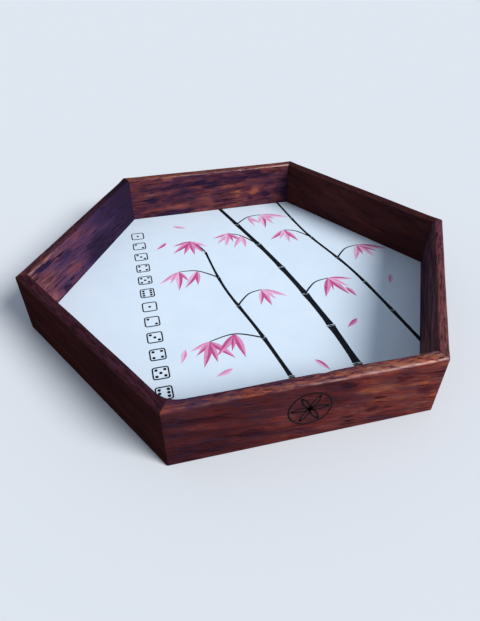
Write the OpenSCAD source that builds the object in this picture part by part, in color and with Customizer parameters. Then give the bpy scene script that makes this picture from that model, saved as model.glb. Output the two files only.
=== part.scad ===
// Hexagonal dice tray: six mitred hardwood walls with stopped splines in their corners,
// a plywood base let into a rabbet under the walls, and a printed liner on the base.
// Millimetres. +Z is up, the origin is under the centre of the tray at table level,
// and the front wall faces -Y.

/* [Walls] */
// Length of each wall along its outer face, corner to corner
wall_length = 130; // [100:1:180]
// Height of the walls from the table to the rim
wall_height = 36.5; // [28:0.5:60]
// Thickness of the wall boards
wall_thickness = 6.5; // [6:0.1:10]
// Radius of the round-over along both top edges of the walls
rim_radius = 1.8; // [0.6:0.1:2.4]
// Radius of the eased corner where two outer faces meet
corner_radius = 1.2; // [0.4:0.1:2]
// Width of the chamfer along the outer bottom edge of the walls
foot_chamfer = 0.5; // [0.2:0.1:1]

/* [Base] */
// Thickness of the plywood base panel
base_thickness = 3.6; // [3:0.1:6]
// Height of the underside of the base above the table
base_recess = 0.4; // [0.2:0.1:1.5]
// Width of the ledge that carries the edge of the base
ledge_width = 3; // [2:0.1:3.6]
// Gap between the edge of the base and the rabbet
base_gap = 0.2; // [0.1:0.05:0.4]

/* [Liner] */
// Thickness of the printed liner
liner_thickness = 0.7; // [0.3:0.1:2]
// Gap between the edge of the liner and the walls
liner_gap = 0.15; // [0.05:0.05:0.4]

/* [Splines] */
// Thickness of the spline in each mitre
spline_thickness = 2; // [1.2:0.1:2.5]
// Width of the spline, half of it in each wall
spline_width = 6; // [4:0.5:8]
// Wood left above the spline, so that the rim stays whole
spline_cover = 7; // [4:0.5:12]
// Wood left between the spline and the rabbet
spline_foot = 2; // [1:0.5:5]
// Gap all round the spline in its slot
spline_gap = 0.1; // [0.05:0.05:0.2]

/* [Hidden] */
$fn = 96;
cut = 1; // how far a cutter reaches past the face that it leaves
sides = 6;
half_angle = 180 / sides;
front_angle = -90;

outer_apothem = wall_length / 2 / tan(half_angle);
inner_apothem = outer_apothem - wall_thickness;
outer_corner = outer_apothem / cos(half_angle);
inner_corner = inner_apothem / cos(half_angle);

rabbet_height = base_recess + base_thickness;
rabbet_apothem = inner_apothem + ledge_width;

spline_bottom = rabbet_height + spline_foot;
spline_top = wall_height - spline_cover;
// The spline stands square to the mitre, so its outer edge comes near the outer face
// as it runs into a wall. Its centre leaves equal wood on both sides.
spline_outer_limit = outer_corner - spline_width / 2 * tan(half_angle) - spline_thickness / 2;
spline_inner_limit = inner_corner + spline_thickness / 2;
spline_radius = (spline_outer_limit + spline_inner_limit) / 2;

// Walls and corners run anticlockwise from the front, seen from above
WALLS = [
    "front_wall", "front_right_wall", "back_right_wall",
    "back_wall", "back_left_wall", "front_left_wall"
];
SPLINES = [
    "front_right_spline", "right_spline", "back_right_spline",
    "back_left_spline", "left_spline", "front_left_spline"
];

wall_colour = "#6b3322";
spline_colour = "#a9855c";
base_colour = "#c8a678";
liner_colour = "#eef2f6";

// Turns a shape whose face looks along +X to the place of wall i
module at_wall(i) {
    rotate(front_angle + i * 360 / sides) children();
}

// A regular hexagon with its flats square to the walls
module hexagon(apothem) {
    rotate(front_angle + half_angle) circle(r = apothem / cos(half_angle), $fn = sides);
}

// Waste of a rounded edge: the square corner in +X +Y outside a quarter circle
module round_waste(radius, reach) {
    difference() {
        square([radius + cut, reach + cut]);
        circle(radius);
    }
}

// Section of a wall board: X runs from the middle of the tray outwards, Y runs up
module wall_section() {
    difference() {
        translate([inner_apothem, 0]) square([wall_thickness, wall_height]);

        // Rabbet for the base
        translate([inner_apothem - cut, -cut]) square([ledge_width + cut, rabbet_height + cut]);

        // Round-overs along the rim, outside and inside
        translate([outer_apothem - rim_radius, wall_height - rim_radius])
            round_waste(rim_radius, rim_radius);
        translate([inner_apothem + rim_radius, wall_height - rim_radius])
            mirror([1, 0]) round_waste(rim_radius, rim_radius);

        // Chamfer at the foot
        polygon([
            [outer_apothem - foot_chamfer, 0],
            [outer_apothem - foot_chamfer, -cut],
            [outer_apothem + cut, -cut],
            [outer_apothem + cut, foot_chamfer],
            [outer_apothem, foot_chamfer]
        ]);
    }
}

// The slice of the plan that belongs to one wall, between its two mitre planes
module mitre_slice() {
    reach = outer_apothem + cut;
    polygon([
        [0, 0],
        [reach, -reach * tan(half_angle)],
        [reach, reach * tan(half_angle)]
    ]);
}

// Waste of the eased outer corner at both ends of a wall
module corner_waste() {
    centre_apothem = outer_apothem - corner_radius;
    for (end = [-1, 1])
        translate([centre_apothem, end * centre_apothem * tan(half_angle), -cut])
            linear_extrude(wall_height + 2 * cut)
                mirror([0, end < 0 ? 1 : 0])
                    round_waste(corner_radius, corner_radius * tan(half_angle));
}

// A spline, or with a gap its slot, standing on the mitre at the +X corner
module spline_block(gap) {
    translate([
        spline_radius - spline_thickness / 2 - gap,
        -spline_width / 2 - gap,
        spline_bottom - gap
    ])
        cube([
            spline_thickness + 2 * gap,
            spline_width + 2 * gap,
            spline_top - spline_bottom + 2 * gap
        ]);
}

module wall(i) {
    color(wall_colour) at_wall(i) difference() {
        intersection() {
            rotate([90, 0, 0]) linear_extrude(wall_length + 2 * cut, center = true) wall_section();
            translate([0, 0, -cut]) linear_extrude(wall_height + 2 * cut) mitre_slice();
        }
        corner_waste();
        for (end = [-1, 1]) rotate(end * half_angle) spline_block(spline_gap);
    }
}

// The spline in the corner after wall i
module spline(i) {
    color(spline_colour) at_wall(i + 0.5) spline_block(0);
}

module base_panel() {
    color(base_colour) translate([0, 0, base_recess])
        linear_extrude(base_thickness) hexagon(rabbet_apothem - base_gap);
}

module printed_liner() {
    color(liner_colour) translate([0, 0, rabbet_height])
        linear_extrude(liner_thickness) hexagon(inner_apothem - liner_gap);
}

for (i = [0 : sides - 1]) {
    wall(i);
    spline(i);
}
base_panel();
printed_liner();
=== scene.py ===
import itertools
import math
import random

import bmesh
import bpy
from mathutils import Euler, Matrix, Vector, noise
from mathutils.geometry import interpolate_bezier


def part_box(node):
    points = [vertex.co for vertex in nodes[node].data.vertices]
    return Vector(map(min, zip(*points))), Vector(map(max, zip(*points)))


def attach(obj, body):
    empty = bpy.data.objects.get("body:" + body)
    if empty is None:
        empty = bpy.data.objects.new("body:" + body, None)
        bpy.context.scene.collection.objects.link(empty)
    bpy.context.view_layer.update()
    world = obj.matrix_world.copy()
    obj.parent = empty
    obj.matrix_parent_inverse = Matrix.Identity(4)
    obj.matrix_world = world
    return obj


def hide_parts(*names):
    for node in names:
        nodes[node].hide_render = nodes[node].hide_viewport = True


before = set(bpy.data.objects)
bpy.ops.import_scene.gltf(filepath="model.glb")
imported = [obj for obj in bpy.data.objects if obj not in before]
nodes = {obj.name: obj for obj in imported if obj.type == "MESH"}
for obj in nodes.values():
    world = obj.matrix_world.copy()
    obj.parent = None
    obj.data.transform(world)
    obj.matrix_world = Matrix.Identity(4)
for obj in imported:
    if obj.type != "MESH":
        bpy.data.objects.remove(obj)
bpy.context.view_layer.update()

scene = bpy.context.scene
mm = 0.001
sideCount = 6
wallNames = ["front_wall", "front_right_wall", "back_right_wall",
             "back_wall", "back_left_wall", "front_left_wall"]
splineNames = ["front_right_spline", "right_spline", "back_right_spline",
               "back_left_spline", "left_spline", "front_left_spline"]

mitreHalf = math.pi / sideCount
wallLow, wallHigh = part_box("front_wall")
linerLow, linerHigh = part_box("printed_liner")
baseLow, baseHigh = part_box("base_panel")
splineLow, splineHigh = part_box("right_spline")
outerApothem, innerApothem = -wallLow.y, -wallHigh.y
rimHeight, rabbetHeight = wallHigh.z, baseHigh.z
linerTop = linerHigh.z
print("frame loaded:", len(nodes), "nodes, rim at", round(rimHeight / mm, 2), "mm")


def toLinear(hexColour):
    channels = [int(hexColour[i:i + 2], 16) / 255 for i in (1, 3, 5)]
    linear = [c / 12.92 if c <= 0.04045 else ((c + 0.055) / 1.055) ** 2.4 for c in channels]
    return (*linear, 1.0)


# Adds a node. A setting or link goes to the input of that name or number, other settings to the node.
# A link from a node starts at its first output.
def addNode(tree, kind, settings=None, links=None):
    node = tree.nodes.new("ShaderNode" + kind)
    for key, value in (settings or {}).items():
        if key == "stops":
            ramp = node.color_ramp.elements
            while len(ramp) < len(value):
                ramp.new(1.0)
            for stop, (place, colour) in zip(ramp, value):
                stop.position = place
                stop.color = toLinear(colour)
        elif isinstance(key, int) or key in node.inputs:
            node.inputs[key].default_value = value
        else:
            setattr(node, key, value)
    for key, source in (links or {}).items():
        output = source.outputs[0] if isinstance(source, bpy.types.Node) else source
        tree.links.new(output, node.inputs[key])
    return node


def newMaterial(name):
    material = bpy.data.materials.new(name)
    material.use_nodes = True
    tree = material.node_tree
    tree.nodes.clear()
    return material, tree


# Says where a ray comes from the camera, straight or by way of a gloss or a glass
def seenRay(tree):
    ray = addNode(tree, "LightPath")
    seenOrGlossy = addNode(tree, "Math", {"operation": "MAXIMUM"},
                           {0: ray.outputs["Is Camera Ray"], 1: ray.outputs["Is Glossy Ray"]})
    return addNode(tree, "Math", {"operation": "MAXIMUM"},
                   {0: seenOrGlossy, 1: ray.outputs["Is Transmission Ray"]})


# Noise drawn out along X, as a board's grain is, with its patches that long and wide in millimetres
def grainNoise(tree, source, length, width, detail, roughness=0.5, distortion=0.0):
    stretch = (1 / (length * mm), 1 / (width * mm), 1 / (width * mm))
    drawn = addNode(tree, "VectorMath", {"operation": "MULTIPLY", 1: stretch}, {0: source})
    return addNode(tree, "TexNoise",
                   {"Scale": 1.0, "Detail": detail, "Roughness": roughness, "Distortion": distortion},
                   {"Vector": drawn})


# Makes a bmesh a finished piece that rides on the tray
def newPiece(name, shape, materials, sharpDegrees=30):
    bmesh.ops.recalc_face_normals(shape, faces=shape.faces[:])
    for face in shape.faces:
        face.smooth = True
    mesh = bpy.data.meshes.new(name)
    shape.to_mesh(mesh)
    shape.free()
    mesh.set_sharp_from_angle(angle=math.radians(sharpDegrees))
    for material in materials:
        mesh.materials.append(material)
    piece = bpy.data.objects.new(name, mesh)
    scene.collection.objects.link(piece)
    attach(piece, "root")
    return piece


# Camera, fitted to the corners of the tray in the photograph: where it stands, and where its back points
cameraSetup = dict(
    place=Vector((-63.85, -241.27, 192.48)) * mm,
    back=Vector((-0.18598, -0.74850, 0.63652)),
    focalPixels=493.5,
    imageHeight=621,
    sensorWidth=36.0,
    nearest=0.01,
)
cameraData = bpy.data.cameras.new("photoCamera")
cameraData.sensor_width = cameraSetup["sensorWidth"]
cameraData.lens = cameraSetup["focalPixels"] / cameraSetup["imageHeight"] * cameraSetup["sensorWidth"]
cameraData.clip_start = cameraSetup["nearest"]
camera = bpy.data.objects.new("photoCamera", cameraData)
camera.location = cameraSetup["place"]
camera.rotation_mode = "QUATERNION"
camera.rotation_quaternion = (-cameraSetup["back"]).to_track_quat("-Z", "Y")
scene.collection.objects.link(camera)
scene.camera = camera
scene.view_settings.view_transform = "Standard"

# Light: a broad cool window from the front right, over a weak even sky
lightSetup = dict(
    windowDegrees=-44,
    windowElevation=39,
    windowSpread=26,
    windowStrength=3.55,
    windowColour="#f4f9ff",
    skyColour="#d3e4ff",
    skyStrength=0.40,
    backdropColour="#dfe7f1",
)
plan = math.radians(lightSetup["windowDegrees"])
rise = math.radians(lightSetup["windowElevation"])
toWindow = Vector((math.cos(plan) * math.cos(rise), math.sin(plan) * math.cos(rise), math.sin(rise)))
windowData = bpy.data.lights.new("windowLight", "SUN")
windowData.angle = math.radians(lightSetup["windowSpread"])
windowData.energy = lightSetup["windowStrength"]
windowData.color = toLinear(lightSetup["windowColour"])[:3]
window = bpy.data.objects.new("windowLight", windowData)
window.rotation_mode = "QUATERNION"
window.rotation_quaternion = toWindow.to_track_quat("Z", "Y")
scene.collection.objects.link(window)

world = bpy.data.worlds.new("studio")
scene.world = world
world.use_nodes = True
sky = world.node_tree
sky.nodes.clear()
skyLight = addNode(sky, "Background", {"Color": toLinear(lightSetup["skyColour"]),
                                       "Strength": lightSetup["skyStrength"]})
skySeen = addNode(sky, "Background", {"Color": toLinear(lightSetup["backdropColour"])})
skyMix = addNode(sky, "MixShader", {}, {0: seenRay(sky), 1: skyLight, 2: skySeen})
addNode(sky, "OutputWorld", {}, {"Surface": skyMix})


# Painted tabletop: a pale matt sheet. Rays that only light the tray find it darker, so it bounces little.
tabletop = dict(seenHex="#e9e8e6", bounceHex="#8a8682", halfSide=6.0)


def paleTabletop():
    material, tree = newMaterial("paleTabletop")
    bounceColour, seenColour = toLinear(tabletop["bounceHex"]), toLinear(tabletop["seenHex"])
    tint = addNode(tree, "Mix", {"data_type": "RGBA", 6: bounceColour, 7: seenColour}, {0: seenRay(tree)})
    matt = addNode(tree, "BsdfDiffuse", {}, {"Color": tint.outputs[2]})
    addNode(tree, "OutputMaterial", {}, {"Surface": matt})
    return material


floorMesh = bmesh.new()
bmesh.ops.create_grid(floorMesh, x_segments=1, y_segments=1, size=tabletop["halfSide"])
floorData = bpy.data.meshes.new("tabletop")
floorMesh.to_mesh(floorData)
floorMesh.free()
floorData.materials.append(paleTabletop())
floor = bpy.data.objects.new("tabletop", floorData)
scene.collection.objects.link(floor)
print("camera, light and tabletop set")


# Red tropical hardwood under satin lacquer: red-brown boards with purple-black figure, orange flecks, dark
# dashes, fine pores and a thin dark glue line at each mitre. The eye gets patches that drift from orange to
# purple, fine streaks along the board, and a rim that is flecked where its rounding crosses the grain.
wallWood = dict(
    palettes=dict(
        red=[(0.30, "#371b24"), (0.41, "#4c2529"), (0.50, "#612e31"), (0.59, "#7c403a"), (0.70, "#9b5c47")],
        plum=[(0.32, "#2f1d35"), (0.42, "#442637"), (0.50, "#5c3039"), (0.58, "#713b3d"), (0.68, "#874c45"),
              (0.80, "#a55c3a")],
        # purple, used on the back-left board, is bluer partly for the wood's tone and partly as painted
        # reflection of the cool sky.
        purple=[(0.32, "#2a1e33"), (0.43, "#392741"), (0.52, "#51324a"), (0.60, "#6c404b"),
                (0.72, "#8a5656")],
        # brown, darker than the others, is used on the back-right and front-left boards, which stand in
        # shade: partly the wood's tone, partly painted shade.
        brown=[(0.32, "#31191c"), (0.43, "#3d1f21"), (0.52, "#492625"), (0.60, "#562e2a"), (0.72, "#6b3c33")],
        umber=[(0.32, "#2c212e"), (0.42, "#402a38"), (0.50, "#55363c"), (0.58, "#6a4443"), (0.70, "#80544b")],
    ),
    plankStep=400, patchCore=0.4, patchFray=2.4,
    fleckHex="#a55b3a",
    dashHex="#2a1622",
    poreHex="#150a0f",
    # Pale of the rounded edges: part wear, part painted highlight
    wearHighlightHex="#dca89c",
    noises=dict(  # length and width of the patches in millimetres, detail, roughness
        warp=(11, 4.5, 3.0, 0.55),
        cloud=(60, 22, 2.0, 0.5),
        drift=(16, 4.6, 3.0, 0.6),
        streak=(17, 0.9, 4.0, 0.65),
        fleck=(9, 2.2, 3.0, 0.6),
        dash=(11, 1.5, 2.0, 0.6),
        pore=(13, 0.8, 1.0, 0.5),  # coarser than real pores, so that they show
        rimFleck=(8, 1.2, 3.0, 0.6),
    ),
    figureNoise=(2.5, 0.5),  # detail and roughness, since each board gives the size
    noiseMiddle=0.5,
    warpAlong=8, warpAcross=3.4, cloudShare=0.5,
    driftRed=0.57, driftBlue=0.43,
    fleckStart=0.57, fleckFull=0.66, fleckDarkest=0.42, fleckLightest=0.58,
    dashStart=0.55, dashFull=0.62,
    poreEdge=0.06, poreDepth=0.75,
    rimDark=0.36, rimLight=0.62, rimDepth=2.4, rimFade=0.8, rimStart=0.4, rimFull=0.8,
    # Where on the rounded edges the pale band lies and how patchy it is: painted highlight centred where the
    # window's light catches them, and wear
    wearHighlightTilt=0.60, wearHighlightCore=0.04, wearHighlightEdge=0.30, wearHighlightStart=0.38, wearHighlightFull=0.58, wearHighlightLeast=0.15,
    glueLine=0.15, glueDepth=0.45,
    dullStart=0.3, dullFull=0.7, roughnessRange=(0.38, 0.54),
    ior=1.5, specular=0.0, coatRoughness=0.40,  # all its gloss is the coat's
    relief=0.05, reliefStrength=0.35, poreRelief=-0.8,
)


def lacqueredHardwood(name, boardNumber, cutFrom):
    look = wallWood
    boardTurn = boardNumber * math.tau / sideCount
    plankPlace = Vector((boardNumber * look["plankStep"] * mm, 0, 0))
    material, tree = newMaterial(name)
    place = addNode(tree, "TexCoord")
    board = addNode(tree, "Mapping", {"Rotation": (0, 0, -boardTurn)}, {"Vector": place.outputs["Object"]})
    parts = addNode(tree, "SeparateXYZ", {}, {0: board})
    slope = Euler((0, math.radians(cutFrom["slope"]), 0))
    grain = addNode(tree, "Mapping", {"Rotation": slope, "Location": plankPlace}, {"Vector": board})

    # A value that goes from one at the board's first end to another at its last
    def endToEnd(first, last):
        return addNode(tree, "MapRange", {"From Min": wallLow.x, "From Max": wallHigh.x,
                                          "To Min": first, "To Max": last},
                       {"Value": parts.outputs["X"]})

    noises = look["noises"]
    warp = grainNoise(tree, grain, *noises["warp"])
    reach = Vector((look["warpAlong"], look["warpAcross"], look["warpAcross"])) * mm
    warped = addNode(tree, "VectorMath", {"operation": "MULTIPLY_ADD", 1: reach},
                     {0: warp.outputs["Color"], 2: grain})
    figure = grainNoise(tree, warped, *cutFrom["figure"], *look["figureNoise"])
    cloud = grainNoise(tree, grain, *noises["cloud"])
    drift = grainNoise(tree, warped, *noises["drift"])
    streak = grainNoise(tree, warped, *noises["streak"])
    fleck = grainNoise(tree, warped, *noises["fleck"])
    dash = grainNoise(tree, warped, *noises["dash"])
    pore = grainNoise(tree, grain, *noises["pore"])
    rimFleck = grainNoise(tree, warped, *noises["rimFleck"])

    # The figure's level goes from dark to light, and clouds shift it
    clouded = addNode(tree, "Math", {"operation": "MULTIPLY_ADD", 1: look["cloudShare"]},
                      {0: cloud, 2: figure})
    cloudedMiddle = (1 + look["cloudShare"]) * look["noiseMiddle"]
    centred = addNode(tree, "Math", {"operation": "SUBTRACT", 1: cloudedMiddle}, {0: clouded})
    middle = endToEnd(*cutFrom["middle"])
    swing = endToEnd(*cutFrom["swing"])
    level = addNode(tree, "Math", {"operation": "MULTIPLY_ADD"}, {0: centred, 1: swing, 2: middle})
    for along, height, halfLength, halfHeight, push in cutFrom["patches"]:
        patchMiddle = slope.to_matrix() @ Vector((along, 0, height)) * mm + plankPlace + reach / 2
        patchScale = Vector((1 / halfLength, 0, 1 / halfHeight)) / mm
        offset = addNode(tree, "VectorMath",
                         {"operation": "MULTIPLY_ADD", 1: patchScale,
                          2: [-m * s for m, s in zip(patchMiddle, patchScale)]},
                         {0: warped})
        apart = addNode(tree, "VectorMath", {"operation": "LENGTH"}, {0: offset})
        frayed = addNode(tree, "Math", {"operation": "MULTIPLY_ADD", 1: look["patchFray"]},
                         {0: streak, 2: apart.outputs["Value"]})
        pushed = addNode(tree, "MapRange", {"interpolation_type": "SMOOTHSTEP",
                                            "From Min": look["patchCore"] + look["patchFray"] / 2,
                                            "From Max": 1 + look["patchFray"] / 2,
                                            "To Min": push, "To Max": 0.0},
                         {"Value": frayed})
        level = addNode(tree, "Math", {"operation": "ADD"}, {0: level, 1: pushed})
    figureColour = addNode(tree, "ValToRGB", {"stops": look["palettes"][cutFrom["palette"]]},
                           {"Fac": level})

    fleckShare = addNode(tree, "MapRange", {"From Min": look["fleckStart"],
                                            "From Max": look["fleckFull"],
                                            "To Max": cutFrom["fleck"]},
                         {"Value": fleck})
    fleckLight = addNode(tree, "MapRange", {"From Min": look["fleckDarkest"],
                                            "From Max": look["fleckLightest"]},
                         {"Value": level})
    fleckMask = addNode(tree, "Math", {"operation": "MULTIPLY"}, {0: fleckShare, 1: fleckLight})
    flecked = addNode(tree, "Mix", {"data_type": "RGBA", 7: toLinear(look["fleckHex"])},
                      {0: fleckMask, 6: figureColour})
    dashMask = addNode(tree, "MapRange", {"From Min": look["dashStart"],
                                          "From Max": look["dashFull"],
                                          "To Max": cutFrom["dash"]},
                       {"Value": dash})
    dashed = addNode(tree, "Mix", {"data_type": "RGBA", 7: toLinear(look["dashHex"])},
                     {0: dashMask, 6: flecked.outputs[2]})

    # The rim goes from one colour to another along the board, and is flecked with a dark one, on some
    # boards more so towards its inside
    surface = addNode(tree, "NewGeometry")
    facing = addNode(tree, "SeparateXYZ", {}, {0: surface.outputs["Normal"]})
    firstRim, lastRim, darkRim = [toLinear(colour) for colour in cutFrom["rim"]]
    rimPlace = endToEnd(0.0, 1.0)
    rimTint = addNode(tree, "Mix", {"data_type": "RGBA", 6: firstRim, 7: lastRim}, {0: rimPlace})
    # Darker towards the inside of the rim; on the front-right board this is painted shade, where the inner
    # rounding faces away from the window.
    insideStart, insideFirst, insideLast = cutFrom["rimInside"]
    inside = addNode(tree, "MapRange",
                     {"From Min": wallLow.y + insideStart * (wallHigh.y - wallLow.y), "From Max": wallHigh.y},
                     {"Value": parts.outputs["Y"]})
    insideDark = endToEnd(insideFirst, insideLast)
    darker = addNode(tree, "Math", {"operation": "MULTIPLY"}, {0: inside, 1: insideDark})
    rimLevel = addNode(tree, "Math", {"operation": "SUBTRACT"}, {0: rimFleck, 1: darker})
    rimLight = addNode(tree, "MapRange", {"From Min": look["rimDark"], "From Max": look["rimLight"]},
                       {"Value": rimLevel})
    rimColour = addNode(tree, "Mix", {"data_type": "RGBA", 6: darkRim},
                        {0: rimLight, 7: rimTint.outputs[2]})
    rimFoot = rimHeight - look["rimDepth"] * mm
    above = addNode(tree, "MapRange", {"From Min": rimFoot, "From Max": rimFoot + look["rimFade"] * mm},
                    {"Value": parts.outputs["Z"]})
    rimUp = addNode(tree, "MapRange", {"From Min": look["rimStart"], "From Max": look["rimFull"],
                                       "To Max": cutFrom["rimShare"]},
                    {"Value": facing.outputs["Z"]})
    upward = addNode(tree, "Math", {"operation": "MULTIPLY"}, {0: rimUp, 1: above})
    rimmed = addNode(tree, "Mix", {"data_type": "RGBA"},
                     {0: upward, 6: dashed.outputs[2], 7: rimColour.outputs[2]})

    # The colour drifts towards orange and purple, and fine streaks lighten and darken it
    warmer, cooler = look["driftRed"] * cutFrom["drift"], look["driftBlue"] * cutFrom["drift"]
    tint = addNode(tree, "VectorMath", {"operation": "MULTIPLY_ADD", 1: (warmer, 0, -cooler),
                                        2: (1 - warmer / 2, 1, 1 + cooler / 2)},
                   {0: drift})
    drifted = addNode(tree, "VectorMath", {"operation": "MULTIPLY"}, {0: rimmed.outputs[2], 1: tint})
    fineness = endToEnd(*cutFrom["streak"])
    ripple = addNode(tree, "Math", {"operation": "SUBTRACT", 1: look["noiseMiddle"]}, {0: streak})
    shade = addNode(tree, "Math", {"operation": "MULTIPLY_ADD", 2: 1.0}, {0: ripple, 1: fineness})
    streaked = addNode(tree, "VectorMath", {"operation": "MULTIPLY"}, {0: drifted, 1: shade})

    # Hands have worn and polished the rounded edges, in patches. The pale laid on them is part wear and
    # part painted highlight, centred where the window's light catches the rounding.
    flatness = addNode(tree, "Math", {"operation": "SUBTRACT", 1: look["wearHighlightTilt"]},
                       {0: facing.outputs["Z"]})
    tilt = addNode(tree, "Math", {"operation": "ABSOLUTE"}, {0: flatness})
    patchy = addNode(tree, "MapRange", {"From Min": look["wearHighlightStart"],
                                        "From Max": look["wearHighlightFull"],
                                        "To Min": look["wearHighlightLeast"]},
                     {"Value": rimFleck})
    patch = addNode(tree, "Math", {"operation": "MULTIPLY"}, {0: patchy, 1: above})
    rounded = addNode(tree, "MapRange", {"From Min": look["wearHighlightCore"], "From Max": look["wearHighlightEdge"],
                                         "To Max": 0.0},
                      {"Value": tilt, "To Min": patch})
    edgeWearHighlight = endToEnd(*cutFrom["wearHighlight"])
    wearHighlightMask = addNode(tree, "Math", {"operation": "MULTIPLY"}, {0: edgeWearHighlight, 1: rounded})
    wornHighlighted = addNode(tree, "Mix", {"data_type": "RGBA", 7: toLinear(look["wearHighlightHex"])},
                   {0: wearHighlightMask, 6: streaked})
    edgePolish = endToEnd(*cutFrom["polish"])
    polish = addNode(tree, "Math", {"operation": "MULTIPLY_ADD", 2: cutFrom["facePolish"],
                                    "use_clamp": True},
                     {0: edgePolish, 1: rounded})

    poreStart = endToEnd(*cutFrom["pore"])
    poreEnd = addNode(tree, "Math", {"operation": "ADD", 1: look["poreEdge"]}, {0: poreStart})
    poreDark = addNode(tree, "MapRange", {"To Max": look["poreDepth"]},
                       {"Value": pore, "From Min": poreStart, "From Max": poreEnd})
    # Glue line: how far a point lies from the nearer mitre plane of its board
    fromMiddle = addNode(tree, "Math", {"operation": "ABSOLUTE"}, {0: parts.outputs["X"]})
    alongShare = addNode(tree, "Math", {"operation": "MULTIPLY", 1: -math.cos(mitreHalf)}, {0: fromMiddle})
    mitreGap = addNode(tree, "Math", {"operation": "MULTIPLY_ADD", 1: -math.sin(mitreHalf)},
                       {0: parts.outputs["Y"], 2: alongShare})
    glueDark = addNode(tree, "MapRange", {"From Min": look["glueLine"] * mm,
                                          "From Max": 2 * look["glueLine"] * mm,
                                          "To Min": look["glueDepth"], "To Max": 0.0},
                       {"Value": mitreGap})
    darkLines = addNode(tree, "Math", {"operation": "MAXIMUM"}, {0: poreDark, 1: glueDark})
    colour = addNode(tree, "Mix", {"data_type": "RGBA", 7: toLinear(look["poreHex"])},
                     {0: darkLines, 6: wornHighlighted.outputs[2]})

    glossiest, dullest = look["roughnessRange"]
    dull = addNode(tree, "MapRange", {"From Min": look["dullStart"], "From Max": look["dullFull"],
                                      "To Min": glossiest, "To Max": dullest},
                   {"Value": streak})
    relief = addNode(tree, "Math", {"operation": "MULTIPLY_ADD", 1: look["poreRelief"]},
                     {0: poreDark, 2: streak})
    bump = addNode(tree, "Bump", {"Strength": look["reliefStrength"], "Distance": look["relief"] * mm},
                   {"Height": relief})
    shader = addNode(tree, "BsdfPrincipled",
                     {"IOR": look["ior"], "Specular IOR Level": look["specular"],
                      "Coat Roughness": look["coatRoughness"]},
                     {"Base Color": colour.outputs[2], "Roughness": dull,
                      "Coat Weight": polish, "Normal": bump})
    addNode(tree, "OutputMaterial", {}, {"Surface": shader})
    return material
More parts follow.
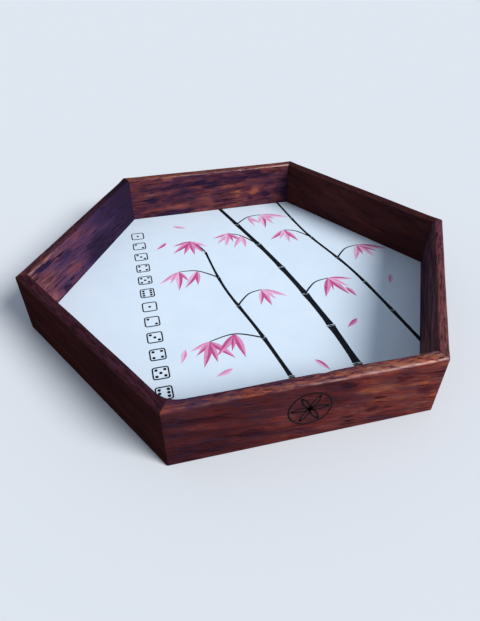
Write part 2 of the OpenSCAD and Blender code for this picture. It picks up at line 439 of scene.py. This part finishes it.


# The boards are cut one after another from one plank. A pair holds the values at the board's first and
# last end. slope is how far the grain rises along the board, in degrees, and figure is the length and
# width of its patches. middle and swing are the level about which they swing and how far, from dark to
# light. patches are those that stand out: place along the board, height, half length, half height, and
# how much lighter. drift, streak, fleck and dash are how strongly its colour drifts and its streaks,
# orange flecks and dark dashes show. A lower pore shows more pores. The rim has its own colours, at the
# two ends and in its dark flecks, and rimShare is how much they cover the figure. rimInside is where, as a
# share of the way in, the rim starts to have more dark flecks, and how many more at the two ends. The last
# three are how pale its rounded edges are, part wear and part painted highlight, how glossy they have
# become, and the gloss of the flat faces.
boardCuts = [
    # The front board grows lighter from its left end to its right: partly the wood's tone, partly painted
    # shade, as the window's light falls off towards the left.
    dict(palette="red", slope=-8, figure=(26, 4.0), middle=(0.375, 0.57), swing=(0.27, 0.34),
         drift=3.0, streak=(0.6, 2.1), fleck=0.5, dash=0.18, pore=(0.66, 0.62),
         patches=[(-48, 27, 20, 3, -0.09), (-42, 22, 24, 3, 0.06), (-50, 9, 16, 5, -0.10),
                  (-26, 12, 8, 3, -0.10), (-18, 18, 10, 3, 0.05), (4, 18, 18, 12, -0.03),
                  (17, 31, 5, 2, -0.14), (32, 25, 16, 4, 0.10), (44, 29, 5, 3, -0.10),
                  (38, 17, 16, 3, 0.08), (31, 11, 4, 2, -0.14), (35, 5, 6, 2, -0.06),
                  (57, 17, 6, 4, -0.10), (52, 23, 8, 2, 0.08)],
         # Its rim is paler towards the right end, in part painted highlight where the window catches it.
         rim=("#7a4338", "#bd7250", "#462a3f"), rimShare=0.75, rimInside=(0.35, 0.3, 0.08),
         wearHighlight=(-0.35, 0.75), polish=(-0.35, 1.0), facePolish=0.006),
    dict(palette="umber", slope=0, figure=(24, 5.0), middle=(0.56, 0.43), swing=(0.6, 0.6),
         drift=0.9, streak=(0.8, 0.8), fleck=0.0, dash=0.2, pore=(0.60, 0.60), patches=[],
         # The rim darkening towards its inside is painted shade of the inner rounding, which faces away from
         # the window.
         rim=("#7e4746", "#764242", "#381c24"), rimShare=0.75, rimInside=(0.65, 0.5, 0.4),
         wearHighlight=(0.0, 0.0), polish=(0.1, 0.1), facePolish=0.06),
    dict(palette="brown", slope=6, figure=(30, 5.0), middle=(0.49, 0.49), swing=(0.35, 0.35),
         drift=1.1, streak=(0.6, 0.6), fleck=0.0, dash=0.05, pore=(0.65, 0.65),
         patches=[(-16, 23, 9, 2, -0.10), (-47, 30, 9, 2, -0.08), (20, 20, 10, 2, 0.06),
                  (-8, 16, 9, 2, 0.06)],
         rim=("#47231f", "#3f1e1b", "#1f1018"), rimShare=0.6, rimInside=(0.5, 0.0, 0.0),
         wearHighlight=(0.03, 0.06), polish=(0.1, 0.1), facePolish=0.006),
    dict(palette="plum", slope=-2, figure=(15, 5.2), middle=(0.49, 0.50), swing=(0.55, 0.55),
         drift=1.4, streak=(1.2, 1.2), fleck=0.3, dash=0.3, pore=(0.61, 0.61),
         patches=[(25, 28, 32, 2.5, -0.15), (-28, 30, 28, 3, -0.14), (32, 34, 6, 2, 0.18),
                  (45, 18, 6, 2.5, -0.14), (44, 23, 14, 2, 0.08), (2, 25, 7, 2, -0.06),
                  (-14, 24, 9, 2, 0.12), (-20, 17, 4, 3, 0.18), (-34, 18, 5, 4, 0.22),
                  (-10, 12, 10, 2, -0.14), (-30, 12, 3, 2, -0.20), (-43, 14, 4, 4, -0.16),
                  # The last patch, darker at the first end beside the back-right wall, is painted shadow of
                  # that wall.
                  (20, 12, 14, 3, 0.08), (30, 7, 24, 3, -0.13), (-60, 14, 5, 12, -0.12)],
         rim=("#94594b", "#96532f", "#482931"), rimShare=0.6, rimInside=(0.5, 0.0, 0.0),
         wearHighlight=(0.6, 0.0), polish=(1.0, 0.1), facePolish=0.006),
    dict(palette="purple", slope=6, figure=(34, 7.0), middle=(0.265, 0.65), swing=(0.15, 0.3),
         drift=1.4, streak=(0.4, 1.3), fleck=0.0, dash=0.1, pore=(0.66, 0.56),
         patches=[(48, 33, 12, 3, -0.26), (46, 24, 10, 6, 0.08), (28, 28, 11, 4, -0.13),
                  (10, 31, 14, 3, 0.06), (-6, 27, 14, 3, 0.06), (-22, 22, 14, 3, 0.06),
                  (22, 15, 15, 5, 0.08), (34, 8, 5, 4, -0.20), (46, 10, 5, 5, 0.10),
                  (-10, 13, 24, 11, -0.12)],
         rim=("#120a10", "#5e3020", "#1c1018"), rimShare=0.7, rimInside=(0.5, 0.0, 0.0),
         wearHighlight=(-0.8, 0.45), polish=(-0.5, 0.5), facePolish=0.006),
    dict(palette="brown", slope=0, figure=(36, 5.0), middle=(0.5, 0.5), swing=(0.3, 0.3),
         drift=1.3, streak=(0.15, 0.15), fleck=0.0, dash=0.05, pore=(0.66, 0.66), patches=[],
         rim=("#44222a", "#432330", "#110912"), rimShare=0.72, rimInside=(0.5, 0.0, 0.0),
         wearHighlight=(0.0, 0.0), polish=(0.08, 0.08), facePolish=0.006),
]


def dressNode(name, material):
    mesh = nodes[name].data
    mesh.materials.clear()
    mesh.materials.append(material)


# Wall boards, finished by hand: rounded along the rim, which wanders a little, has a nick on two walls and
# is left fuller in one inner corner, and eased at the outer corners, with a rabbet for the base and a slot
# for a spline in each mitred end. Millimetres.
wallBoard = dict(
    rimRadius=1.8, rimSegments=6, lipDepth=2.1,
    cornerRadius=1.2, cornerRings=3,
    footChamfer=0.5,
    rabbetClearance=0.2, slotClearance=0.1,
    rings=144,
    driftLength=21, driftWall=3.7, driftKind=9, driftSlice=0.5, topDrift=0.3, edgeDrift=0.4, endFade=9,
    fullCorner={"front_wall": -1, "front_left_wall": 1}, fullLength=8,
    nicks={"back_wall": dict(at=-23.8, length=1.6, depth=0.75),
           "front_wall": dict(at=7.6, length=2.2, depth=0.45)},
    flatWithin=0.001,
)


def smoothStep(share):
    share = min(max(share, 0.0), 1.0)
    return share * share * (3 - 2 * share)


# The faces of a board that lie in one of its mitre planes
def mitreFaces(board, inward):
    near = wallBoard["flatWithin"] * mm
    return [face for face in board.faces if all(abs(vert.co.dot(inward)) < near for vert in face.verts)]


def makeWall(name, boardTurn, material):
    size = wallBoard
    rim, foot, ease = size["rimRadius"] * mm, size["footChamfer"] * mm, size["cornerRadius"] * mm
    rabbet = -baseLow.y + size["rabbetClearance"] * mm
    # Points a little below the round-overs keep the faces flat from there down
    lip, blend = rimHeight - size["lipDepth"] * mm, rimHeight - 2 * rim
    section = [(rabbet, 0.0), (outerApothem - foot, 0.0), (outerApothem, foot), (outerApothem, blend),
               (outerApothem, lip), (outerApothem, rimHeight), (innerApothem, rimHeight), (innerApothem, lip),
               (innerApothem, blend), (innerApothem, rabbetHeight), (rabbet, rabbetHeight)]
    board = bmesh.new()
    corners = [board.verts.new((0, -away, height)) for away, height in section]
    board.faces.new(corners)
    rimCorners = [corner for corner in corners if corner.co.z == rimHeight]
    bmesh.ops.bevel(board, geom=rimCorners, offset=rim, segments=size["rimSegments"], profile=0.5,
                    affect="VERTICES", material=-1)
    # The section goes to one mitre plane and is spun to the other
    bmesh.ops.scale(board, vec=(1, 1 / math.cos(mitreHalf), 1), verts=board.verts[:])
    bmesh.ops.rotate(board, cent=(0, 0, 0), matrix=Matrix.Rotation(-mitreHalf, 3, "Z"), verts=board.verts[:])
    bmesh.ops.spin(board, geom=board.verts[:] + board.edges[:] + board.faces[:], cent=(0, 0, 0),
                   axis=(0, 0, 1), angle=2 * mitreHalf, steps=size["rings"])

    # The bent board is straightened, ring by ring, with the last rings close together at the corners
    tangent = ease * math.tan(mitreHalf)
    halfLength = outerApothem * math.tan(mitreHalf)
    straightTurn = math.atan((halfLength - tangent) / outerApothem)
    easeAway = outerApothem - ease
    easeAlong = easeAway * math.tan(mitreHalf)
    lane = wallNames.index(name) * size["driftWall"]
    nick = size["nicks"].get(name)
    for vert in board.verts:
        turn = math.atan2(vert.co.x, -vert.co.y)
        away = vert.co.xy.length * math.cos(mitreHalf)
        ring = round((turn + mitreHalf) / (2 * mitreHalf) * size["rings"])
        fromEnd = min(ring, size["rings"] - ring)
        if fromEnd <= size["cornerRings"]:
            ringTurn = math.atan((halfLength - tangent * fromEnd / size["cornerRings"]) / outerApothem)
        else:
            ringTurn = straightTurn * (1 - 2 * (fromEnd - size["cornerRings"])
                                       / (size["rings"] - 2 * size["cornerRings"]))
        lift = smoothStep((vert.co.z - rimHeight + 2 * rim) / (2 * rim))
        across = (away - innerApothem) / (outerApothem - innerApothem)

        # One inner corner of the rim was left fuller, in a curve from wall to wall
        fromCorner = innerApothem * (math.tan(mitreHalf) - math.tan(ringTurn))
        cornerShare = 1 - fromCorner / (size["fullLength"] * mm)
        if cornerShare > 0 and size["fullCorner"].get(name) == math.copysign(1, turn):
            fullest = size["fullLength"] * mm * math.sin(2 * mitreHalf) / 4
            away -= lift * (1 - across) * fullest * cornerShare ** 2
        along = math.copysign(away * math.tan(ringTurn), turn)

        # Hand sanding: the rim wanders inwards by a few tenths, and not at all in the mitres
        fade = smoothStep((away * math.tan(mitreHalf) - abs(along)) / (size["endFade"] * mm))
        place = along / (size["driftLength"] * mm)
        lanes = [lane + size["driftKind"] * k for k in range(3)]
        drift = [0.5 + 0.5 * noise.noise((place, at, size["driftSlice"])) for at in lanes]
        shift = (1 - across) * (2 * drift[0] - 1) - across * drift[1]
        away += lift * fade * size["edgeDrift"] * mm * shift
        vert.co.z -= lift * fade * size["topDrift"] * mm * drift[2]
        if nick:
            dent = math.exp(-((along / mm - nick["at"]) / nick["length"]) ** 2) * lift * (1 - across)
            away += dent * nick["depth"] * mm
            vert.co.z -= dent * nick["depth"] * mm / 2

        # Eased corner: a point outside the small arc at the corner comes in to it
        reach = Vector((abs(along) - easeAlong, away - easeAway))
        if reach.x > 0 and reach.y > 0 and reach.length > ease:
            reach *= ease / reach.length
            along = math.copysign(easeAlong + reach.x, along)
            away = easeAway + reach.y
        vert.co.x, vert.co.y = along, -away

    # A slot in each end, half as deep as the spline is wide
    clear = size["slotClearance"] * mm
    slotLow, slotHigh = splineLow.x - clear, splineHigh.x + clear
    slotFoot, slotTop = splineLow.z - clear, splineHigh.z + clear
    for end in (-1, 1):
        outward = Vector((end * math.sin(mitreHalf), -math.cos(mitreHalf), 0))
        inward = Vector((-end * math.cos(mitreHalf), -math.sin(mitreHalf), 0))
        cuts = [(outward * slotLow, outward), (outward * slotHigh, outward),
                (Vector((0, 0, slotFoot)), Vector((0, 0, 1))), (Vector((0, 0, slotTop)), Vector((0, 0, 1)))]
        for point, direction in cuts:
            caps = mitreFaces(board, inward)
            geom = caps + list({e for f in caps for e in f.edges}) + list({v for f in caps for v in f.verts})
            bmesh.ops.bisect_plane(board, geom=geom, plane_co=point, plane_no=direction)
        middles = [(f, f.calc_center_median()) for f in mitreFaces(board, inward)]
        slotFaces = [f for f, middle in middles
                     if slotLow < middle.dot(outward) < slotHigh and slotFoot < middle.z < slotTop]
        pushed = bmesh.ops.extrude_face_region(board, geom=slotFaces)
        slotVerts = [item for item in pushed["geom"] if isinstance(item, bmesh.types.BMVert)]
        bmesh.ops.delete(board, geom=slotFaces, context="FACES_ONLY")
        bmesh.ops.translate(board, vec=inward * (splineHigh.y + clear), verts=slotVerts)

    bmesh.ops.rotate(board, cent=(0, 0, 0), matrix=Matrix.Rotation(boardTurn, 3, "Z"), verts=board.verts[:])
    loose = [e for e in board.edges if len(e.link_faces) != 2]
    print(name, "has", len(board.faces), "faces and", len(loose), "open edges")
    piece = newPiece(name + "_board", board, [material])
    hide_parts(name)


for i, (wallName, cutFrom) in enumerate(zip(wallNames, boardCuts)):
    boardTurn = i * math.tau / sideCount
    makeWall(wallName, boardTurn, lacqueredHardwood(wallName + "_hardwood", i, cutFrom))
print("walls finished in hardwood")


# Satin polypropylene sheet: cool white, faintly pebbled, so that it glows softly without a mirror gloss
sheet = dict(
    mottle=14, mottleDetail=3.0, tints=[(0.3, "#e1ecf4"), (0.7, "#e6f0f6")],
    pebble=0.9, pebbleDetail=2.0, relief=0.05, reliefStrength=0.12,  # coarser than real, so that it shows
    roughnessRange=(0.48, 0.62), ior=1.49, specular=0.25,
)


def printedSheet():
    material, tree = newMaterial("satinSheet")
    place = addNode(tree, "TexCoord")
    mottle = addNode(tree, "TexNoise", {"Scale": 1 / (sheet["mottle"] * mm),
                                        "Detail": sheet["mottleDetail"]},
                     {"Vector": place.outputs["Object"]})
    tint = addNode(tree, "ValToRGB", {"stops": sheet["tints"]}, {"Fac": mottle})
    pebble = addNode(tree, "TexNoise", {"Scale": 1 / (sheet["pebble"] * mm),
                                        "Detail": sheet["pebbleDetail"]},
                     {"Vector": place.outputs["Object"]})
    glossiest, dullest = sheet["roughnessRange"]
    dull = addNode(tree, "MapRange", {"To Min": glossiest, "To Max": dullest}, {"Value": mottle})
    bump = addNode(tree, "Bump", {"Strength": sheet["reliefStrength"], "Distance": sheet["relief"] * mm},
                   {"Height": pebble})
    shader = addNode(tree, "BsdfPrincipled", {"IOR": sheet["ior"], "Specular IOR Level": sheet["specular"]},
                     {"Base Color": tint, "Roughness": dull, "Normal": bump})
    addNode(tree, "OutputMaterial", {}, {"Surface": shader})
    return material


# Pale wood with straight grain, for the hidden splines and the plywood base
timber = dict(
    birchPlywood=dict(tints=[(0.3, "#a98455"), (0.65, "#cbab7c")], length=45, width=3.5, roughness=0.6),
    beechSpline=dict(tints=[(0.3, "#8f6a42"), (0.65, "#b68f62")], length=20, width=1.2, roughness=0.65),
    detail=4.0, distortion=0.4, relief=0.1, reliefStrength=0.3,
)


def plainTimber(name):
    look = timber[name]
    material, tree = newMaterial(name)
    place = addNode(tree, "TexCoord")
    rings = grainNoise(tree, place.outputs["Object"], look["length"], look["width"], timber["detail"],
                       distortion=timber["distortion"])
    tint = addNode(tree, "ValToRGB", {"stops": look["tints"]}, {"Fac": rings})
    bump = addNode(tree, "Bump", {"Strength": timber["reliefStrength"], "Distance": timber["relief"] * mm},
                   {"Height": rings})
    shader = addNode(tree, "BsdfPrincipled", {"Roughness": look["roughness"]},
                     {"Base Color": tint, "Normal": bump})
    addNode(tree, "OutputMaterial", {}, {"Surface": shader})
    return material


dressNode("printed_liner", printedSheet())
dressNode("base_panel", plainTimber("birchPlywood"))
splineTimber = plainTimber("beechSpline")
for splineName in splineNames:
    dressNode(splineName, splineTimber)
print("liner, base and splines finished")


# Screen ink on the sheet: dense flat colour with a soft satin face, a little uneven where it lies thin
ink = dict(
    unevenness=5, detail=4.0, grit=0.65, denseAt=0.35, thinAt=0.70,
    roughnessRange=(0.40, 0.55), ior=1.49, specular=0.04, thickness=0.03, thicker=0.0008,
    colours=dict(night=("#0b0d12", "#161a21"), rose=("#c2487f", "#cf6594"),
                 pink=("#e08ab2", "#e7a0c1"), blush=("#efb6d2", "#f3c6dc")),
)


def screenInk(name, denseHex, thinHex):
    material, tree = newMaterial(name)
    place = addNode(tree, "TexCoord")
    lay = addNode(tree, "TexNoise", {"Scale": 1 / (ink["unevenness"] * mm),
                                     "Detail": ink["detail"], "Roughness": ink["grit"]},
                  {"Vector": place.outputs["Object"]})
    tint = addNode(tree, "ValToRGB", {"stops": [(ink["denseAt"], denseHex), (ink["thinAt"], thinHex)]},
                   {"Fac": lay})
    glossiest, dullest = ink["roughnessRange"]
    dull = addNode(tree, "MapRange", {"To Min": glossiest, "To Max": dullest}, {"Value": lay})
    shader = addNode(tree, "BsdfPrincipled", {"IOR": ink["ior"], "Specular IOR Level": ink["specular"]},
                     {"Base Color": tint, "Roughness": dull})
    addNode(tree, "OutputMaterial", {}, {"Surface": shader})
    return material


inks = {name: screenInk(name + "Ink", *colours) for name, colours in ink["colours"].items()}

# Bamboo printed across the liner: jointed dark culms that rise from the front edge, thin twigs from
# their joints, and sprays of pink lance leaves on the twigs. Millimetres from the middle of the liner.
bamboo = dict(
    seed=4,
    culms=[
        dict(points=[(42, -110), (38, -40), (26, 30), (5, 110)], wide=5.2, thin=3.4, joints=7),
        dict(points=[(83, -73), (74, 0), (60, 56), (53, 110)], wide=3.0, thin=2.0, joints=6),
        dict(points=[(9, -110), (-2, -46), (-13, 4), (-17, 48)], wide=3.2, thin=1.6, joints=5),
    ],
    pathSteps=14, culmSteps=16, flare=0.22, flarePower=4,
    jointGap=1.3, jointMark=0.8, jointReach=1.24, jointBow=0.5, jointSteps=4, jointFull=1.15,
    twigs=[  # which culm, how far up it, where the tip is from there, leaves at the tip and halfway
        dict(culm=2, at=0.40, tip=(-30, 4), leaves=5, halfway=3),
        dict(culm=2, at=0.80, tip=(-24, 12), leaves=4, halfway=2),
        dict(culm=2, at=1.00, tip=(-8, 16), leaves=6, halfway=0),
        dict(culm=2, at=0.60, tip=(18, 12), leaves=4, halfway=0),
        dict(culm=0, at=0.43, tip=(20, 12), leaves=5, halfway=0),
        dict(culm=0, at=0.715, tip=(-18, 20), leaves=5, halfway=2),
        dict(culm=0, at=0.86, tip=(22, 10), leaves=5, halfway=2),
        dict(culm=1, at=0.50, tip=(20, 12), leaves=5, halfway=0),
        dict(culm=1, at=0.67, tip=(-16, 14), leaves=4, halfway=0),
    ],
    twigWide=1.2, twigThin=0.6, twigArch=0.16,
    leafLength=19, leafWidth=3.7, leafBow=0.14, leafTaper=0.45, leafPoints=24, leafFan=25, hang=0.75,
    leafGrowth=(0.65, 1.1), fanSpread=(0.85, 1.15),
    looseLeaves=[(-24, -66, 200), (20, -70, 300), (-46, -46, 250), (56, -44, 215), (62, -14, 285),
                 (96, -8, 240), (-34, 88, 330), (-42, 66, 225)],
    looseLength=0.55, looseWidth=0.75,
)
printOrder = itertools.count()


# A curve through some points, smooth because each handle is a sixth of the way between the neighbours
def smoothPath(points):
    knots = [Vector((x, y, 0)) * mm for x, y in points]
    path = []
    for i in range(len(knots) - 1):
        start, end = knots[i], knots[i + 1]
        before, after = knots[max(i - 1, 0)], knots[min(i + 2, len(knots) - 1)]
        leaving, arriving = start + (end - before) / 6, end - (after - start) / 6
        run = interpolate_bezier(start, leaving, arriving, end, bamboo["pathSteps"])
        path += run if i == 0 else run[1:]
    return path


# A point of a path, by its share of the path's length
def pointAt(path, share):
    lengths = [(b - a).length for a, b in zip(path, path[1:])]
    left = share * sum(lengths)
    for start, end, length in zip(path, path[1:], lengths):
        if left <= length:
            return start.lerp(end, left / length)
        left -= length
    return path[-1].copy()


# Raises the flat shape of some vertices to a thin plate of ink on the liner. Each plate is a little
# thicker than the one before, so that it covers it where they cross.
def inkPlate(shape, verts):
    faces = list({face for vert in verts for face in vert.link_faces})
    raised = bmesh.ops.extrude_face_region(shape, geom=faces, use_keep_orig=True)
    tops = [item for item in raised["geom"] if isinstance(item, bmesh.types.BMVert)]
    thickness = ink["thickness"] + ink["thicker"] * next(printOrder)
    bmesh.ops.translate(shape, vec=(0, 0, thickness * mm), verts=tops)


# A brush stroke along a path, as wide in millimetres at each share of it as widthAt says
def inkStroke(shape, path, widthAt):
    steps = len(path) - 1
    verts = bmesh.ops.create_grid(shape, x_segments=steps, y_segments=1, size=0.5)["verts"]
    for vert in verts:
        k = round((vert.co.x + 0.5) * steps)
        heading = (path[min(k + 1, steps)] - path[max(k - 1, 0)]).normalized()
        side = Vector((-heading.y, heading.x, 0)) * math.copysign(widthAt(k / steps) / 2 * mm, vert.co.y)
        vert.co = path[k] + side + Vector((0, 0, linerTop))
    inkPlate(shape, verts)


# A lance leaf whose stalk end is at root, with a tone on each side of its midrib
def inkLeaf(shape, root, angle, length, width, tones):
    verts = bmesh.ops.create_circle(shape, cap_ends=True, cap_tris=True, segments=bamboo["leafPoints"],
                                    radius=1.0)["verts"]
    halves = {}
    for face in {face for vert in verts for face in vert.link_faces}:
        halves[face] = tones[0] if face.calc_center_median().y > 0 else tones[1]
    spin = Matrix.Rotation(angle, 3, "Z")
    for vert in verts:
        x, y = vert.co.x, vert.co.y
        fat = y * abs(y) * (1 - bamboo["leafTaper"] * x)  # pointed at both ends, widest near the stalk
        bow = bamboo["leafBow"] * (1 - x * x)
        vert.co = root + spin @ Vector(((x + 1) / 2 * length * mm, (fat + bow) * width / 2 * mm, 0))
        vert.co.z = linerTop
    for face, tone in halves.items():
        face.material_index = tone
    inkPlate(shape, verts)


# Cuts the print off at the edge of the liner
def trimToLiner(shape):
    for i in range(sideCount):
        edgeMiddle = Matrix.Rotation(i * math.tau / sideCount, 3, "Z") @ Vector((0, linerLow.y, 0))
        everything = shape.verts[:] + shape.edges[:] + shape.faces[:]
        bmesh.ops.bisect_plane(shape, geom=everything, plane_co=edgeMiddle, plane_no=edgeMiddle,
                               clear_outer=True)
        bmesh.ops.holes_fill(shape, edges=[edge for edge in shape.edges if edge.is_boundary], sides=0)


rng = random.Random(bamboo["seed"])
stems = bmesh.new()
leaves = bmesh.new()
leafTones = [(0, 1), (1, 2), (1, 0), (2, 1), (0, 2)]


def leafSpray(root, aim, count):
    for k in range(count):
        fan = (k - (count - 1) / 2) * bamboo["leafFan"] * rng.uniform(*bamboo["fanSpread"])
        grown = rng.uniform(*bamboo["leafGrowth"])
        inkLeaf(leaves, root, aim + math.radians(fan), bamboo["leafLength"] * grown,
                bamboo["leafWidth"] * grown, rng.choice(leafTones))


# A culm is a row of strokes that flare at both ends, with a bowed mark in the gap between two of them
def inkCulm(culm, path):
    joints, steps, markSteps = culm["joints"], bamboo["culmSteps"], bamboo["jointSteps"]
    total = sum((b - a).length for a, b in zip(path, path[1:]))
    gap = bamboo["jointGap"] * mm / total
    for j in range(joints):
        low, high = j / joints + gap / 2, (j + 1) / joints - gap / 2
        run = [pointAt(path, low + (high - low) * k / steps) for k in range(steps + 1)]
        wide = culm["wide"] + (culm["thin"] - culm["wide"]) * j / joints
        inkStroke(stems, run, lambda share: wide * (
            1 - bamboo["flare"] * (1 - (2 * share - 1) ** bamboo["flarePower"])))
        if j + 1 < joints:
            middle = pointAt(path, (j + 1) / joints)
            heading = (run[-1] - run[-2]).normalized()
            side = Vector((-heading.y, heading.x, 0)) * wide * bamboo["jointReach"] / 2 * mm
            bow = heading * bamboo["jointBow"] * mm
            mark = [middle + side * k / markSteps - bow * (k / markSteps) ** 2
                    for k in range(-markSteps, markSteps + 1)]
            inkStroke(stems, mark, lambda share: bamboo["jointMark"] * (
                bamboo["jointFull"] - (2 * share - 1) ** 2))


culmPaths = [smoothPath(culm["points"]) for culm in bamboo["culms"]]
for culm, path in zip(bamboo["culms"], culmPaths):
    inkCulm(culm, path)
for twig in bamboo["twigs"]:
    foot = pointAt(culmPaths[twig["culm"]], twig["at"])
    tip = foot + Vector((*twig["tip"], 0)) * mm
    arch = Vector((0, 1, 0)) * (tip - foot).length * bamboo["twigArch"]
    path = smoothPath([(p / mm).xy for p in (foot, foot.lerp(tip, 0.5) + arch, tip)])
    twigTaper = bamboo["twigThin"] - bamboo["twigWide"]
    inkStroke(stems, path, lambda share: bamboo["twigWide"] + twigTaper * share)
    aim = (tip - foot).normalized().lerp(Vector((0, -1, 0)), bamboo["hang"])
    leafSpray(tip, math.atan2(aim.y, aim.x), twig["leaves"])
    leafSpray(path[len(path) // 2], math.atan2(aim.y, aim.x), twig["halfway"])
for x, y, degrees in bamboo["looseLeaves"]:
    inkLeaf(leaves, Vector((x, y, 0)) * mm, math.radians(degrees),
            bamboo["leafLength"] * bamboo["looseLength"], bamboo["leafWidth"] * bamboo["looseWidth"],
            rng.choice(leafTones))
trimToLiner(stems)
trimToLiner(leaves)
newPiece("bamboo_stems", stems, [inks["night"]])
newPiece("bamboo_leaves", leaves, [inks["rose"], inks["pink"], inks["blush"]])
print("bamboo printed in", next(printOrder), "strokes and leaves")

# Column of die faces along the left of the liner, counting up to six twice. Millimetres.
dieColumn = dict(across=-61, top=80, pitch=14.0, counts=[1, 2, 3, 4, 5, 6, 1, 2, 3, 4, 5, 6],
                 size=9.0, corner=1.6, cornerSegments=4, line=0.7, pipRadius=0.85, pipReach=2.3, pipPoints=16)
pipPlaces = {
    1: [(0, 0)],
    2: [(-1, 1), (1, -1)],
    3: [(-1, 1), (0, 0), (1, -1)],
    4: [(-1, 1), (1, 1), (-1, -1), (1, -1)],
    5: [(-1, 1), (1, 1), (0, 0), (-1, -1), (1, -1)],
    6: [(-1, 1), (1, 1), (-1, 0), (1, 0), (-1, -1), (1, -1)],
}
dies = bmesh.new()
for row, count in enumerate(dieColumn["counts"]):
    middle = Vector((dieColumn["across"], dieColumn["top"] - row * dieColumn["pitch"], linerTop / mm)) * mm
    square = bmesh.ops.create_grid(dies, x_segments=1, y_segments=1, size=dieColumn["size"] / 2 * mm)["verts"]
    bmesh.ops.translate(dies, vec=middle, verts=square)
    rounded = bmesh.ops.bevel(dies, geom=square, offset=dieColumn["corner"] * mm,
                              segments=dieColumn["cornerSegments"], profile=0.5, affect="VERTICES",
                              material=-1)
    outline = list({face for vert in rounded["verts"] for face in vert.link_faces})
    bmesh.ops.inset_region(dies, faces=outline, thickness=dieColumn["line"] * mm, use_boundary=True,
                           use_even_offset=True)
    border = list({vert for face in outline for vert in face.verts})
    bmesh.ops.delete(dies, geom=outline, context="FACES_ONLY")
    inkPlate(dies, border)
    for px, py in pipPlaces[count]:
        pip = bmesh.ops.create_circle(dies, cap_ends=True, segments=dieColumn["pipPoints"],
                                      radius=dieColumn["pipRadius"] * mm)["verts"]
        bmesh.ops.translate(dies, vec=middle + Vector((px, py, 0)) * dieColumn["pipReach"] * mm, verts=pip)
        inkPlate(dies, pip)
trimToLiner(dies)
newPiece("die_column", dies, [inks["night"]])
print("die column printed with", len(dieColumn["counts"]), "faces")


# Wood charred by a hot point: dull brown-black, with a trace of the grain left in it
scorch = dict(length=9, width=0.8, detail=3.0, tints=[(0.35, "#0f0a0c"), (0.72, "#2a1718")],
              roughness=0.8, specular=0.1)


def scorchedWood():
    material, tree = newMaterial("scorchedHardwood")
    place = addNode(tree, "TexCoord")
    grain = grainNoise(tree, place.outputs["Object"], scorch["length"], scorch["width"], scorch["detail"])
    tint = addNode(tree, "ValToRGB", {"stops": scorch["tints"]}, {"Fac": grain})
    shader = addNode(tree, "BsdfPrincipled", {"Roughness": scorch["roughness"],
                                              "Specular IOR Level": scorch["specular"]},
                     {"Base Color": tint})
    addNode(tree, "OutputMaterial", {}, {"Surface": shader})
    return material


# Rosette burnt into the front wall: a ring round six petals, all struck with one compass. The char is a
# plate let into the face, which stands a hair proud of it so that it shows. Millimetres.
rosette = dict(petals=6, radius=8.6, ringGap=1.5, line=1.05, tipCross=2, height=20.5, depth=0.05,
               proud=0.008, arcSteps=21, ringSteps=72)


def burntArc(shape, middle, radius, start, sweep, steps):
    half = rosette["line"] / 2
    right, up = math.cos(start), math.sin(start)
    ends = [shape.verts.new((middle[0] + away * right, middle[1] + away * up, 0))
            for away in (radius - half, radius + half)]
    edge = shape.edges.new(ends)
    bmesh.ops.spin(shape, geom=ends + [edge], cent=(*middle, 0), axis=(0, 0, 1), angle=sweep, steps=steps,
                   use_merge=sweep == math.tau)


burn = bmesh.new()
burntArc(burn, (0, 0), rosette["radius"] + rosette["ringGap"], 0, math.tau, rosette["ringSteps"])
cross = math.radians(rosette["tipCross"])
for k in range(rosette["petals"]):
    turn = k * math.tau / rosette["petals"]
    middle = (rosette["radius"] * math.cos(turn), rosette["radius"] * math.sin(turn))
    burntArc(burn, middle, rosette["radius"], turn + math.tau / 3 - cross, math.tau / 3 + 2 * cross,
             rosette["arcSteps"])
bmesh.ops.scale(burn, vec=(mm, mm, mm), verts=burn.verts[:])
flat = burn.faces[:]
sunk = bmesh.ops.extrude_face_region(burn, geom=flat, use_keep_orig=True)
bmesh.ops.translate(burn, vec=(0, 0, (rosette["depth"] + rosette["proud"]) * mm),
                    verts=[item for item in sunk["geom"] if isinstance(item, bmesh.types.BMVert)])
bmesh.ops.rotate(burn, cent=(0, 0, 0), matrix=Matrix.Rotation(math.pi / 2, 3, "X"), verts=burn.verts[:])
bmesh.ops.translate(burn, vec=(0, -outerApothem + rosette["depth"] * mm, rosette["height"] * mm),
                    verts=burn.verts[:])
newPiece("burnt_rosette", burn, [scorchedWood()])
print("rosette burnt into the front wall")
